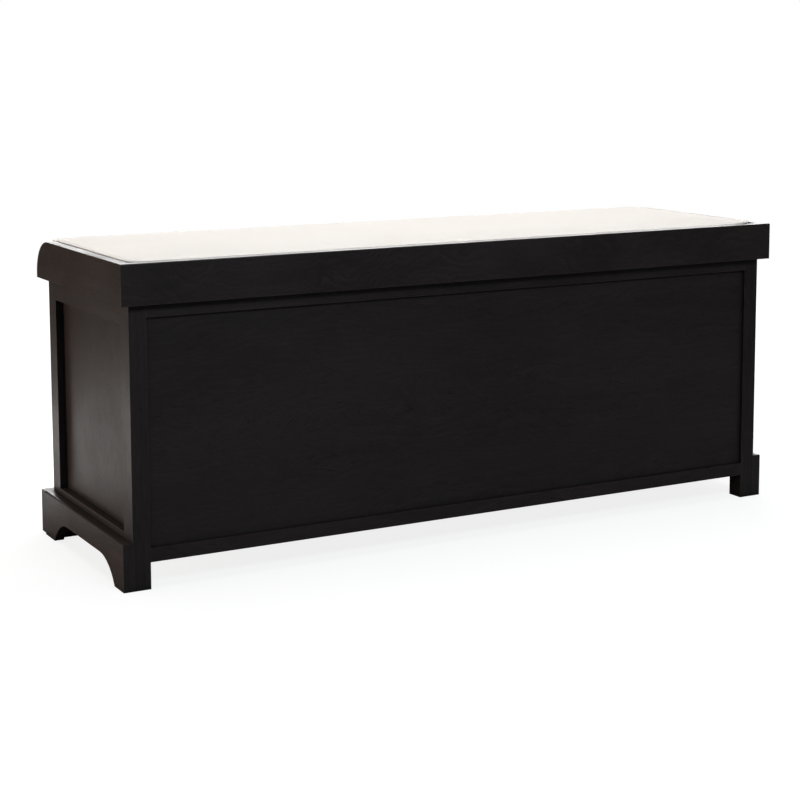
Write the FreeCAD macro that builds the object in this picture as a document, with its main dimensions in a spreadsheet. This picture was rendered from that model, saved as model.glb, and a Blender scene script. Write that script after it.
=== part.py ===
"""Storage bench: a framed case on a bracket-foot plinth, three drawers in a row, and a cushioned seat tray.

Frame: origin on the floor under the middle of the bench, +X along its length (the right-hand end
seen from the front), the drawers face -Y, +Z up. Millimetres.
"""
import FreeCAD, Part
import Sketcher
import math
import os

SIZES = [
    # alias, value, what it measures
    ("bench_length", 1200, "length over the tray and the plinth"),
    ("rim_height", 490, "floor to the top of the tray rim"),
    ("tray_depth", 398, "front to back over the tray"),
    ("tray_height", 62, "height of the tray boards"),
    ("tray_thick", 18, "thickness of the tray boards and the seat board"),
    ("nose_radius", 55, "rounded front top corner of a tray end board"),
    ("edge_round", 1.5, "softened edges of the tray boards and drawer fronts"),
    ("nosing_depth", 15, "seat nosing, front to back"),
    ("nosing_setback", 3, "seat nosing behind the tips of the end boards"),
    ("nosing_round", 5, "rounded front edges of the seat nosing"),
    ("case_inset", 15.5, "case side inside the tray end"),
    ("back_inset", 13.5, "case back inside the tray back"),
    ("case_depth", 371, "case, front to back"),
    ("case_base", 41, "floor to the underside of the rails"),
    ("post_width", 27.5, "corner post along the bench"),
    ("back_post_depth", 37, "back post, front to back"),
    ("front_post_depth", 33.5, "front post, front to back"),
    ("foot_depth", 30, "post below the rails, front to back"),
    ("rail_thick", 20, "front and back rails, front to back"),
    ("side_top_rail_height", 33.5, "side top rail"),
    ("bottom_rail_height", 42, "side and front bottom rails"),
    ("front_top_rail_height", 28, "front top rail"),
    ("back_top_rail_height", 20, "back top rail"),
    ("back_bottom_rail_height", 21, "back bottom rail"),
    ("side_panel_recess", 13, "side panel behind the face of its frame"),
    ("side_panel_thick", 6, "side panel"),
    ("back_panel_recess", 5, "back panel behind the face of its frame"),
    ("back_panel_thick", 5, "back panel"),
    ("groove_depth", 6, "how far a panel is let into its frame"),
    ("divider_thick", 22, "upright between two drawers"),
    ("bottom_thick", 12, "case bottom board"),
    ("cleat_width", 20, "cleat under the case bottom"),
    ("runner_width", 22, "drawer runner"),
    ("guide_height", 40, "side guide beside an outer drawer"),
    ("stop_width", 60, "drawer stop along the bench"),
    ("stop_height", 14, "drawer stop"),
    ("plinth_height", 73.5, "plinth boards"),
    ("plinth_side_thick", 15.5, "plinth side board"),
    ("plinth_front_thick", 18, "plinth front board"),
    ("plinth_round", 3, "rounded top edge of a plinth board"),
    ("arch_height", 37.5, "floor to the top of the plinth cut-outs"),
    ("arch_radius", 75, "curve at each end of a plinth cut-out"),
    ("back_foot_width", 40.5, "side board foot at the back, at the floor"),
    ("front_foot_width", 46, "side board foot at the front, at the floor"),
    ("front_board_foot", 88, "front board foot, at the floor"),
    ("front_board_lift", 2.5, "plinth front board clear of the floor"),
    ("dowel_radius", 3, "rail dowels"),
    ("dowel_length", 30, "rail dowels"),
    ("screw_radius", 2, "shank of the seat and knob screws"),
    ("screw_head_radius", 4, "head of the seat and knob screws"),
    ("screw_head_height", 3, "head of the seat and knob screws"),
    ("seat_screw_length", 31, "shank of a seat screw"),
    ("seat_screw_spacing", 420, "seat screws along the bench"),
    ("drawer_depth", 340, "drawer over its front and back"),
    ("front_gap", 2, "gap round a drawer front"),
    ("drawer_side_gap", 2.5, "gap beside a drawer box"),
    ("drawer_lift", 0.5, "drawer box above its runners"),
    ("drawer_front_thick", 18, "drawer front board"),
    ("drawer_board_thick", 12, "drawer sides and back"),
    ("drawer_side_height", 296, "drawer sides"),
    ("drawer_bottom_thick", 5, "drawer bottom"),
    ("drawer_bottom_rise", 12, "underside of the drawer bottom above the lower edge of the sides"),
    ("field_border", 42, "plain border of a drawer front"),
    ("field_sink", 5, "sunk field of a drawer front"),
    ("knob_length", 23, "knob, front to back"),
    ("knob_radius", 15, "knob at its widest"),
    ("knob_dome", 19, "radius of the knob's domed tip"),
    ("knob_cap", 7, "tip of the knob to its widest ring"),
    ("knob_neck_radius", 6, "knob neck"),
    ("knob_neck_at", 15, "tip of the knob to its neck"),
    ("knob_foot_radius", 9, "knob where it meets the drawer"),
    ("knob_foot_height", 2, "flat edge of the knob foot"),
    ("knob_screw_reach", 12, "knob screw inside the knob"),
    ("cushion_thick", 50, "cushion at its middle"),
    ("cushion_gap", 2, "cushion inside the tray boards"),
    ("cushion_depth", 372, "cushion, front to back"),
    ("cushion_corner", 20, "cushion corners in plan"),
    ("cushion_front_round", 22, "cushion front top edge"),
    ("cushion_under_round", 8, "lower edges of the cushion"),
]

SIDES = {"left": -1, "right": 1}
AXES = "xyz"


class Size:
    """A length that knows its value and the sheet expression that it comes from."""

    def __init__(self, value, text):
        self.value, self.text = value, text

    def __add__(self, other):
        other = as_size(other)
        return Size(self.value + other.value, f"({self.text} + {other.text})")

    def __sub__(self, other):
        other = as_size(other)
        return Size(self.value - other.value, f"({self.text} - {other.text})")

    def __mul__(self, number):
        return Size(self.value * number, f"({self.text} * {number})")

    def __truediv__(self, number):
        return Size(self.value / number, f"({self.text} / {number})")

    def __neg__(self):
        return Size(-self.value, f"(0 - {self.text})")

    def __pow__(self, number):
        return Size(self.value ** number, f"({self.text} ^ {number})")

    def root(self):
        return Size(math.sqrt(self.value), f"sqrt({self.text})")


def as_size(value):
    return value if isinstance(value, Size) else Size(value, str(value))


doc = FreeCAD.newDocument("storage_bench")
sheet = doc.addObject("Spreadsheet::Sheet", "Sizes")
for row, (alias, value, meaning) in enumerate(SIZES, 1):
    sheet.set(f"A{row}", meaning)
    sheet.set(f"B{row}", str(value))
    sheet.setAlias(f"B{row}", alias)
doc.recompute()

cell = {alias: Size(value, f"Sizes.{alias}") for alias, value, _ in SIZES}
ZERO = as_size(0)

# ---- places worked out from the sheet ----
half_length = cell["bench_length"] / 2
overall_depth = cell["back_inset"] + cell["case_depth"] + cell["plinth_front_thick"]
tray_back = overall_depth / 2
tray_front = tray_back - cell["tray_depth"]
tray_base = cell["rim_height"] - cell["tray_height"]
seat_top = tray_base + cell["tray_thick"]
seat_back = tray_back - cell["tray_thick"]
tray_inner = half_length - cell["tray_thick"]
case_back = tray_back - cell["back_inset"]
case_front = case_back - cell["case_depth"]
case_half = half_length - cell["case_inset"]
post_inner = case_half - cell["post_width"]
back_post_front = case_back - cell["back_post_depth"]
front_post_back = case_front + cell["front_post_depth"]
back_rail_front = case_back - cell["rail_thick"]
front_rail_back = case_front + cell["rail_thick"]
front_fixing_line = case_front + cell["rail_thick"] / 2
back_fixing_line = back_rail_front + cell["rail_thick"] / 4
bottom_rail_top = cell["case_base"] + cell["bottom_rail_height"]
back_bottom_rail_top = cell["case_base"] + cell["back_bottom_rail_height"]
case_bottom_top = back_bottom_rail_top + cell["bottom_thick"]
back_panel_front = case_back - cell["back_panel_recess"] - cell["back_panel_thick"]
front_top_rail_base = tray_base - cell["front_top_rail_height"]
bay_width = (post_inner * 2 - cell["divider_thick"] * 2) / 3
bay_pitch = bay_width + cell["divider_thick"]
drawer_box_width = bay_width - cell["drawer_side_gap"] * 2
drawer_inner_width = drawer_box_width - cell["drawer_board_thick"] * 2
drawer_base = bottom_rail_top + cell["drawer_lift"]
drawer_front_back = case_front + cell["drawer_front_thick"]
drawer_end = case_front + cell["drawer_depth"]
drawer_bottom_base = drawer_base + cell["drawer_bottom_rise"]
drawer_bottom_top = drawer_bottom_base + cell["drawer_bottom_thick"]
drawer_front_height = front_top_rail_base - bottom_rail_top - cell["front_gap"] * 2
knob_height = bottom_rail_top + cell["front_gap"] + drawer_front_height / 2

nodes = []


# ---- ways of making a piece ----
def keep(piece):
    """Counts a finished piece as a node of its own."""
    nodes.append(piece)
    return piece


def place(piece, corner):
    for axis, size in zip(AXES, corner):
        piece.setExpression(f"Placement.Base.{axis}", as_size(size).text)
    return piece


def board(name, corner, lengths):
    """A plain rectangular board from its low corner and its size along X, Y and Z."""
    piece = doc.addObject("Part::Box", name)
    for prop, size in zip(("Length", "Width", "Height"), lengths):
        piece.setExpression(prop, as_size(size).text)
    return place(piece, corner)


def rod(name, start, axis, length, radius):
    """A round rod from start along +X, +Y or +Z."""
    turns = {
        "x": FreeCAD.Rotation(FreeCAD.Vector(0, 1, 0), 90),
        "y": FreeCAD.Rotation(FreeCAD.Vector(1, 0, 0), -90),
        "z": FreeCAD.Rotation(),
    }
    piece = doc.addObject("Part::Cylinder", name)
    piece.Placement = FreeCAD.Placement(FreeCAD.Vector(), turns[axis])
    piece.setExpression("Radius", as_size(radius).text)
    piece.setExpression("Height", as_size(length).text)
    return place(piece, start)


def group(name, pieces):
    piece = doc.addObject("Part::Compound", name)
    piece.Links = list(pieces)
    return piece


def cut(name, blank, cutters):
    """The blank with every cutter taken out of it; the cutters stay as they are."""
    piece = doc.addObject("Part::Cut", name)
    piece.Base = blank
    piece.Tool = cutters[0] if len(cutters) == 1 else group(f"{name}_cutters", cutters)
    return piece


def new_body(name):
    return doc.addObject("PartDesign::Body", name)


def origin_plane(body, role):
    return next(plane for plane in body.Origin.OriginFeatures if plane.Role == role)


def arc_between(start, end, radius, clockwise):
    """The short arc of the radius from start to end, and which of its ends comes first."""
    chord = end - start
    middle = (start + end) * 0.5
    rise = math.sqrt(radius ** 2 - (chord.Length / 2) ** 2)
    across = FreeCAD.Vector(-chord.y, chord.x, 0).normalize()
    centre = middle - across * rise if clockwise else middle + across * rise
    first, last = (end, start) if clockwise else (start, end)
    angles = [math.atan2(point.y - centre.y, point.x - centre.x) for point in (first, last)]
    circle = Part.Circle(centre, FreeCAD.Vector(0, 0, 1), radius)
    return Part.ArcOfCircle(circle, *angles), (2, 1) if clockwise else (1, 2)


def draw(body, plane, corners):
    """A closed sketch whose corners sit at sheet sizes from the body's origin.

    A corner is (across, up), or (across, up, radius, "cw" or "ccw") where an arc leads to it.
    """
    sketch = body.newObject("Sketcher::SketchObject", f"{body.Name}_sketch")
    sketch.AttachmentSupport = [(origin_plane(body, plane), "")]
    sketch.MapMode = "FlatFace"
    corners = [tuple(as_size(part) if index < 3 else part for index, part in enumerate(corner))
               for corner in corners]
    points = [FreeCAD.Vector(corner[0].value, corner[1].value, 0) for corner in corners]
    ends = []
    for index, corner in enumerate(corners):
        start, end = points[index - 1], points[index]
        if len(corner) == 4:
            edge, order = arc_between(start, end, corner[2].value, corner[3] == "cw")
            sketch.addGeometry(edge)
            sketch.addConstraint(Sketcher.Constraint("Radius", index, corner[2].value))
            sketch.setExpression(f"Constraints[{sketch.ConstraintCount - 1}]", corner[2].text)
        else:
            sketch.addGeometry(Part.LineSegment(start, end))
            order = (1, 2)
        ends.append(order)
    for index, corner in enumerate(corners):
        following = (index + 1) % len(corners)
        last, first = ends[index][1], ends[following][0]
        sketch.addConstraint(Sketcher.Constraint("Coincident", index, last, following, first))
        for kind, axis, size in (("DistanceX", -2, corner[0]), ("DistanceY", -1, corner[1])):
            if size.value == 0:
                sketch.addConstraint(Sketcher.Constraint("PointOnObject", index, last, axis))
                continue
            sketch.addConstraint(Sketcher.Constraint(kind, -1, 1, index, last, size.value))
            sketch.setExpression(f"Constraints[{sketch.ConstraintCount - 1}]", size.text)
    return sketch


def pad(body, plane, corners, length):
    """Pads an outline from one of the body's planes, towards the positive axis."""
    feature = body.newObject("PartDesign::Pad", f"{body.Name}_pad")
    feature.Profile = draw(body, plane, corners)
    feature.setExpression("Length", as_size(length).text)
    feature.Reversed = plane == "XZ_Plane"
    doc.recompute()
    return feature


def pocket(body, plane, corners, length):
    """Sinks an outline into the body from one of its planes, towards the positive axis."""
    before = body.Shape.Volume
    feature = body.newObject("PartDesign::Pocket", f"{body.Name}_pocket")
    feature.Profile = draw(body, plane, corners)
    feature.setExpression("Length", as_size(length).text)
    feature.Reversed = plane != "XZ_Plane"
    doc.recompute()
    if not body.Shape.Volume < before - 1:
        raise RuntimeError(f"the pocket in {body.Name} takes nothing away")
    return feature


def revolve(body, corners):
    """Turns an outline drawn in the XY plane about the Y axis."""
    sketch = draw(body, "XY_Plane", corners)
    feature = body.newObject("PartDesign::Revolution", f"{body.Name}_turning")
    feature.Profile = sketch
    feature.ReferenceAxis = (sketch, ["V_Axis"])
    feature.Angle = 360
    doc.recompute()
    return feature


def edges_on(shape, **planes):
    """The names of the edges that lie in every one of the planes, such as x=0 or z=62."""
    names = []
    for number, edge in enumerate(shape.Edges, 1):
        box = edge.BoundBox
        spans = {"x": (box.XMin, box.XMax), "y": (box.YMin, box.YMax), "z": (box.ZMin, box.ZMax)}
        if all(abs(end - at) < 0.01 for axis, at in planes.items() for end in spans[axis]):
            names.append(f"Edge{number}")
    return names


def round_edges(body, radius, names):
    feature = body.newObject("PartDesign::Fillet", f"{body.Name}_round")
    feature.Base = (body.Tip if body.Tip != feature else feature.BaseFeature, names)
    feature.setExpression("Radius", radius.text)
    doc.recompute()
    return feature


def rectangle(width, height):
    return [(0, 0), (width, 0), (width, height), (0, height)]


def low_x(side, inner, outer):
    """The low X of a piece that lies between inner and outer on one side of the middle."""
    return inner if SIDES[side] > 0 else -outer


# ---- the seat tray ----
def tray_end(side):
    """End board of the tray: a rounded nose at the front, a mitre at the back."""
    depth, thick = cell["tray_depth"], cell["tray_thick"]
    inner_corner, outer_corner = (ZERO, thick) if SIDES[side] > 0 else (thick, ZERO)
    body = new_body(f"tray_end_{side}")
    pad(body, "XY_Plane", [(inner_corner, 0), (outer_corner, 0), (outer_corner, depth),
                           (inner_corner, depth - thick)], cell["tray_height"])
    nose = edges_on(body.Shape, y=0, z=cell["tray_height"].value)
    round_edges(body, cell["nose_radius"], nose)
    shape = body.Shape
    rim = [name for at in (0, thick.value) for name in edges_on(shape, x=at)
           if name not in edges_on(shape, z=0) + edges_on(shape, y=depth.value)
           + edges_on(shape, y=depth.value - thick.value)]
    round_edges(body, cell["edge_round"], rim)
    return keep(place(body, (low_x(side, tray_inner, half_length), tray_front, tray_base)))


def tray_back_board():
    """Back board of the tray, mitred to the end boards."""
    length, thick = cell["bench_length"], cell["tray_thick"]
    body = new_body("tray_back_board")
    pad(body, "XY_Plane", [(thick, 0), (length - thick, 0), (length, thick), (0, thick)],
        cell["tray_height"])
    top = cell["tray_height"].value
    rim = edges_on(body.Shape, y=thick.value, z=top) + edges_on(body.Shape, y=0, z=top)
    round_edges(body, cell["edge_round"], rim)
    return keep(place(body, (-half_length, seat_back, tray_base)))


def seat_nosing():
    """Lipping along the front of the seat board, rounded above and below."""
    body = new_body("seat_nosing")
    length = tray_inner * 2
    pad(body, "XY_Plane", rectangle(length, cell["nosing_depth"]), cell["tray_thick"])
    front = edges_on(body.Shape, y=0, z=0) + edges_on(body.Shape, y=0, z=cell["tray_thick"].value)
    round_edges(body, cell["nosing_round"], front)
    return keep(place(body, (-tray_inner, tray_front + cell["nosing_setback"], tray_base)))


def seat_screws():
    """Screws up through the front and back top rails into the seat board."""
    head_base = tray_base - cell["back_top_rail_height"]
    shank_base = head_base + cell["screw_head_height"]
    screws = []
    for row, y in (("front", front_fixing_line), ("back", back_fixing_line)):
        for place_number in (-1, 0, 1):
            spot = cell["seat_screw_spacing"] * place_number
            name = f"seat_screw_{row}_{place_number + 2}"
            head = rod(f"{name}_head", (spot, y, head_base), "z", cell["screw_head_height"],
                       cell["screw_head_radius"])
            shank = rod(f"{name}_shank", (spot, y, shank_base), "z", cell["seat_screw_length"],
                        cell["screw_radius"])
            screw = doc.addObject("Part::Fuse", name)
            screw.Base, screw.Tool = head, shank
            screws.append(screw)
    return keep(group("seat_screws", screws))


def seat_board(screws):
    depth = seat_back - tray_front - cell["nosing_setback"] - cell["nosing_depth"]
    corner = (-tray_inner, seat_back - depth, tray_base)
    blank = board("seat_board_blank", corner, (tray_inner * 2, depth, cell["tray_thick"]))
    return keep(cut("seat_board", blank, [screws]))


def seat_cushion():
    """Stuffed cushion lying in the tray, its front edge left open to the front."""
    length = tray_inner * 2 - cell["cushion_gap"] * 2
    depth, thick = cell["cushion_depth"], cell["cushion_thick"]
    body = new_body("seat_cushion")
    pad(body, "XY_Plane", rectangle(length, depth), thick)
    uprights = [name for x in (0, length.value) for y in (0, depth.value)
                for name in edges_on(body.Shape, x=x, y=y)]
    round_edges(body, cell["cushion_corner"], uprights)
    front = edges_on(body.Shape, y=0, z=thick.value)
    round_edges(body, cell["cushion_front_round"], front)
    under = edges_on(body.Shape, z=0)
    round_edges(body, cell["cushion_under_round"], under)
    corner = (-(length / 2), seat_back - cell["cushion_gap"] - depth, seat_top)
    return keep(place(body, corner))


# ---- the case ----
def side_panel(side):
    """Panel let into the posts and rails of one end of the case."""
    outer = case_half - cell["side_panel_recess"]
    groove = cell["groove_depth"]
    low_y = front_post_back - groove
    low_z = bottom_rail_top - groove
    high_z = tray_base - cell["side_top_rail_height"] + groove
    corner = (low_x(side, outer - cell["side_panel_thick"], outer), low_y, low_z)
    depth = back_post_front + groove - low_y
    return keep(board(f"side_panel_{side}", corner,
                      (cell["side_panel_thick"], depth, high_z - low_z)))


def back_panel():
    """Panel let into the back posts and rails."""
    groove = cell["groove_depth"]
    low_z = back_bottom_rail_top - groove
    high_z = tray_base - cell["back_top_rail_height"] + groove
    length = (post_inner + groove) * 2
    corner = (-(length / 2), back_panel_front, low_z)
    return keep(board("back_panel", corner, (length, cell["back_panel_thick"], high_z - low_z)))


def rail_dowels():
    """One dowel in each joint between a rail and a post."""
    half, radius = cell["dowel_length"] / 2, cell["dowel_radius"]
    outer_x = case_half - cell["post_width"] / 4
    side_heights = {
        "top": tray_base - cell["side_top_rail_height"] / 2,
        "bottom": cell["case_base"] + cell["bottom_rail_height"] / 2,
    }
    long_rails = {
        "front_top": (front_fixing_line, tray_base - cell["front_top_rail_height"] / 2),
        "front_bottom": (front_fixing_line, cell["case_base"] + cell["bottom_rail_height"] / 2),
        "back_top": (back_fixing_line, tray_base - cell["back_top_rail_height"] / 2),
        "back_bottom": (back_fixing_line,
                        cell["case_base"] + cell["back_bottom_rail_height"] / 2),
    }
    dowels = []
    for side in SIDES:
        x = outer_x * SIDES[side]
        for level, z in side_heights.items():
            for end, y in (("front", front_post_back), ("back", back_post_front)):
                name = f"dowel_{side}_{level}_{end}"
                dowels.append(rod(name, (x, y - half, z), "y", cell["dowel_length"], radius))
        for rail, (y, z) in long_rails.items():
            start = post_inner * SIDES[side] - half
            name = f"dowel_{side}_{rail}"
            dowels.append(rod(name, (start, y, z), "x", cell["dowel_length"], radius))
    return keep(group("rail_dowels", dowels))


def back_post(side, let_in):
    """Back corner post, down to the floor, slimmer below the rails."""
    depth, foot = cell["back_post_depth"], cell["back_post_depth"] - cell["foot_depth"]
    base = cell["case_base"]
    body = new_body(f"post_back_{side}_blank")
    pad(body, "YZ_Plane", [(foot, 0), (depth, 0), (depth, tray_base), (0, tray_base), (0, base),
                           (foot, base)], cell["post_width"])
    place(body, (low_x(side, post_inner, case_half), back_post_front, 0))
    return keep(cut(f"post_back_{side}", body, let_in))


def front_post(side, let_in):
    """Front corner post, down to the floor behind the plinth."""
    corner = (low_x(side, post_inner, case_half), case_front, 0)
    lengths = (cell["post_width"], cell["front_post_depth"], tray_base)
    return keep(cut(f"post_front_{side}", board(f"post_front_{side}_blank", corner, lengths), let_in))


def side_rail(side, level, low_z, height, let_in):
    name = f"side_{level}_rail_{side}"
    corner = (low_x(side, post_inner, case_half), front_post_back, low_z)
    lengths = (cell["post_width"], back_post_front - front_post_back, height)
    return keep(cut(name, board(f"{name}_blank", corner, lengths), let_in))


def long_rail(name, low_y, low_z, height, let_in):
    """Front or back rail between two posts."""
    corner = (-post_inner, low_y, low_z)
    lengths = (post_inner * 2, cell["rail_thick"], height)
    return keep(cut(name, board(f"{name}_blank", corner, lengths), let_in))


def front_top_rail(let_in):
    """Front top rail, with wide holes that let the screw heads up to their seats."""
    height = cell["front_top_rail_height"] - cell["back_top_rail_height"]
    wells = [rod(f"screw_well_{number + 2}",
                 (cell["seat_screw_spacing"] * number, front_fixing_line, front_top_rail_base),
                 "z", height, cell["screw_head_radius"]) for number in (-1, 0, 1)]
    long_rail("front_top_rail", case_front, front_top_rail_base, cell["front_top_rail_height"],
              let_in + wells)


def divider(side):
    """Upright between two drawers, notched round the front rails."""
    depth = back_rail_front - case_front
    notch = cell["rail_thick"]
    low, high = bottom_rail_top - case_bottom_top, front_top_rail_base - case_bottom_top
    top = tray_base - case_bottom_top
    body = new_body(f"divider_{side}")
    pad(body, "YZ_Plane", [(notch, 0), (depth, 0), (depth, top), (notch, top), (notch, high),
                           (0, high), (0, low), (notch, low)], cell["divider_thick"])
    inner = bay_width / 2
    x = low_x(side, inner, inner + cell["divider_thick"])
    return keep(place(body, (x, case_front, case_bottom_top)))


def case_floor():
    """Bottom board on the back bottom rail and on a cleat behind the front bottom rail."""
    keep(board("case_bottom", (-post_inner, front_rail_back, back_bottom_rail_top),
               (post_inner * 2, back_panel_front - front_rail_back, cell["bottom_thick"])))
    keep(board("bottom_cleat", (-post_inner, front_rail_back, cell["case_base"]),
               (post_inner * 2, cell["cleat_width"], cell["back_bottom_rail_height"])))


def bay_fittings(bay, centre):
    """The two runners and the stop of one drawer; returns the stop."""
    depth = back_rail_front - front_rail_back
    height = bottom_rail_top - case_bottom_top
    starts = {"left": centre - bay_width / 2, "right": centre + bay_width / 2 - cell["runner_width"]}
    for side, x in starts.items():
        keep(board(f"runner_{bay}_{side}", (x, front_rail_back, case_bottom_top),
                   (cell["runner_width"], depth, height)))
    corner = (centre - cell["stop_width"] / 2, drawer_end + cell["drawer_lift"], case_bottom_top)
    stop_depth = back_rail_front - drawer_end - cell["drawer_lift"]
    rise = drawer_bottom_top - case_bottom_top + cell["stop_height"]
    return board(f"drawer_stop_{bay}", corner, (cell["stop_width"], stop_depth, rise))


def side_guide(side):
    """Strip on the side bottom rail that keeps an outer drawer straight."""
    thick = cell["post_width"] - cell["side_panel_recess"] - cell["side_panel_thick"]
    corner = (low_x(side, post_inner, post_inner + thick), front_post_back, bottom_rail_top)
    return keep(board(f"side_guide_{side}", corner,
                      (thick, back_post_front - front_post_back, cell["guide_height"])))


# ---- the plinth ----
def bracket_outline(length, height, foot_start, foot_end, arch):
    """A board standing on two feet, its cut-out curved at both ends."""
    radius = cell["arch_radius"]
    run = (radius ** 2 - (radius - arch) ** 2).root()
    return [(0, 0), (foot_start, 0), (foot_start + run, arch, radius, "cw"),
            (length - foot_end - run, arch), (length - foot_end, 0, radius, "cw"),
            (length, 0), (length, height), (0, height)]


def plinth_side(side):
    body = new_body(f"plinth_side_{side}")
    height, thick = cell["plinth_height"], cell["plinth_side_thick"]
    outline = bracket_outline(cell["case_depth"], height, cell["front_foot_width"],
                              cell["back_foot_width"], cell["arch_height"])
    pad(body, "YZ_Plane", outline, thick)
    outer = thick.value if SIDES[side] > 0 else 0
    round_edges(body, cell["plinth_round"], edges_on(body.Shape, x=outer, z=height.value))
    return keep(place(body, (low_x(side, case_half, case_half + thick), case_front, 0)))


def plinth_front():
    body = new_body("plinth_front")
    height = cell["plinth_height"] - cell["front_board_lift"]
    arch = cell["arch_height"] - cell["front_board_lift"]
    foot = cell["front_board_foot"]
    outline = bracket_outline(cell["bench_length"], height, foot, foot, arch)
    pad(body, "XZ_Plane", outline, cell["plinth_front_thick"])
    round_edges(body, cell["plinth_round"], edges_on(body.Shape, y=0, z=height.value))
    corner = (-half_length, case_front - cell["plinth_front_thick"], cell["front_board_lift"])
    return keep(place(body, corner))


# ---- the drawers ----
def drawer_front(name, centre, let_in):
    """Inset front board with a sunk field and a hole for the knob screw."""
    width = bay_width - cell["front_gap"] * 2
    border, sink = cell["field_border"], cell["field_sink"]
    body = new_body(f"{name}_front_blank")
    pad(body, "XZ_Plane", rectangle(width, drawer_front_height), cell["drawer_front_thick"])
    round_edges(body, cell["edge_round"], edges_on(body.Shape, y=0))
    far_x, far_z = width - border, drawer_front_height - border
    field = [(border, border), (far_x, border), (far_x, far_z), (border, far_z)]
    pocket(body, "XZ_Plane", field, sink)
    place(body, (centre - width / 2, case_front, bottom_rail_top + cell["front_gap"]))
    return keep(cut(f"{name}_front", body, let_in))


def knob(name, centre):
    """Turned knob, tip first, drilled from its foot for the screw."""
    length, screw = cell["knob_length"], cell["screw_radius"]
    cap, widest = cell["knob_cap"], cell["knob_radius"]
    neck, neck_at = cell["knob_neck_radius"], cell["knob_neck_at"]
    foot, reach = cell["knob_foot_radius"], length - cell["knob_screw_reach"]
    body = new_body(f"{name}_knob")
    revolve(body, [(0, 0), (widest, cap, cell["knob_dome"], "ccw"), (neck, neck_at, widest, "ccw"),
                   (foot, length - cell["knob_foot_height"], widest, "cw"), (foot, length),
                   (screw, length), (screw, reach), (0, reach)])
    front_face = case_front + cell["field_sink"]
    return keep(place(body, (centre, front_face - length, knob_height)))


def knob_screw(name, centre):
    """Machine screw from inside the drawer into the knob; its head is on the inner face."""
    reach = cell["drawer_front_thick"] - cell["field_sink"] + cell["knob_screw_reach"]
    shank = rod(f"{name}_screw_shank", (centre, drawer_front_back - reach, knob_height), "y",
                reach, cell["screw_radius"])
    head = rod(f"{name}_screw_head", (centre, drawer_front_back, knob_height), "y",
               cell["screw_head_height"], cell["screw_head_radius"])
    screw = doc.addObject("Part::Fuse", f"{name}_knob_screw")
    screw.Base, screw.Tool = head, shank
    return keep(screw)


def drawer(bay, centre):
    """One drawer: front, two sides, back, bottom let into grooves, knob and its screw."""
    name = f"drawer_{bay}"
    thick, groove = cell["drawer_board_thick"], cell["groove_depth"]
    bottom = keep(board(f"{name}_bottom",
                        (centre - drawer_inner_width / 2 - groove, drawer_front_back - groove,
                         drawer_bottom_base),
                        (drawer_inner_width + groove * 2, drawer_end - drawer_front_back + groove,
                         cell["drawer_bottom_thick"])))
    starts = {"left": centre - drawer_box_width / 2, "right": centre + drawer_inner_width / 2}
    for side, x in starts.items():
        blank = board(f"{name}_side_{side}_blank", (x, drawer_front_back, drawer_base),
                      (thick, drawer_end - drawer_front_back, cell["drawer_side_height"]))
        keep(cut(f"{name}_side_{side}", blank, [bottom]))
    back_height = drawer_base + cell["drawer_side_height"] - drawer_bottom_top
    keep(board(f"{name}_back", (centre - drawer_inner_width / 2, drawer_end - thick, drawer_bottom_top),
               (drawer_inner_width, thick, back_height)))
    screw = knob_screw(name, centre)
    drawer_front(name, centre, [bottom, screw])
    knob(name, centre)


# ---- the whole bench ----
def build():
    screws = seat_screws()
    seat_board(screws)
    seat_nosing()
    tray_back_board()
    seat_cushion()
    dowels = rail_dowels()
    backing = back_panel()
    for side in SIDES:
        tray_end(side)
        panel = side_panel(side)
        back_post(side, [panel, backing, dowels])
        front_post(side, [panel, dowels])
        side_rail(side, "top", tray_base - cell["side_top_rail_height"],
                  cell["side_top_rail_height"], [panel, dowels])
        side_rail(side, "bottom", cell["case_base"], cell["bottom_rail_height"], [panel, dowels])
        side_guide(side)
        divider(side)
        plinth_side(side)
    plinth_front()
    long_rail("back_top_rail", back_rail_front, tray_base - cell["back_top_rail_height"],
              cell["back_top_rail_height"], [backing, dowels, screws])
    long_rail("back_bottom_rail", back_rail_front, cell["case_base"],
              cell["back_bottom_rail_height"], [backing, dowels])
    long_rail("front_bottom_rail", case_front, cell["case_base"], cell["bottom_rail_height"],
              [dowels])
    front_top_rail([dowels, screws])
    case_floor()
    stops = []
    for bay, number in (("left", -1), ("middle", 0), ("right", 1)):
        centre = bay_pitch * number
        stops.append(bay_fittings(bay, centre))
        drawer(bay, centre)
    keep(group("drawer_stops", stops))


build()
doc.recompute()

for item in doc.Objects:
    faults = [state for state in item.State if state in ("Invalid", "Error")]
    if faults:
        raise RuntimeError(f"{item.Name} is {faults[0]}")
for node in nodes:
    if node.Shape.isNull() or not node.Shape.isValid():
        raise RuntimeError(f"{node.Label} has no valid shape")

os.makedirs("parts", exist_ok=True)
for node in nodes:
    node.Shape.exportStep(os.path.join("parts", f"{node.Label}.step"))
print(f"{len(nodes)} nodes written")
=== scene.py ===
"""Storage bench: dark lacquered case on bracket feet, three drawers and a stuffed seat cushion.

Everything is in metres in the bench's own frame: origin on the floor under its middle, +X along
its length, the drawers open towards -Y, +Z up.
"""
import math

import bmesh
import bpy
from mathutils import Matrix, Vector, noise


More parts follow.
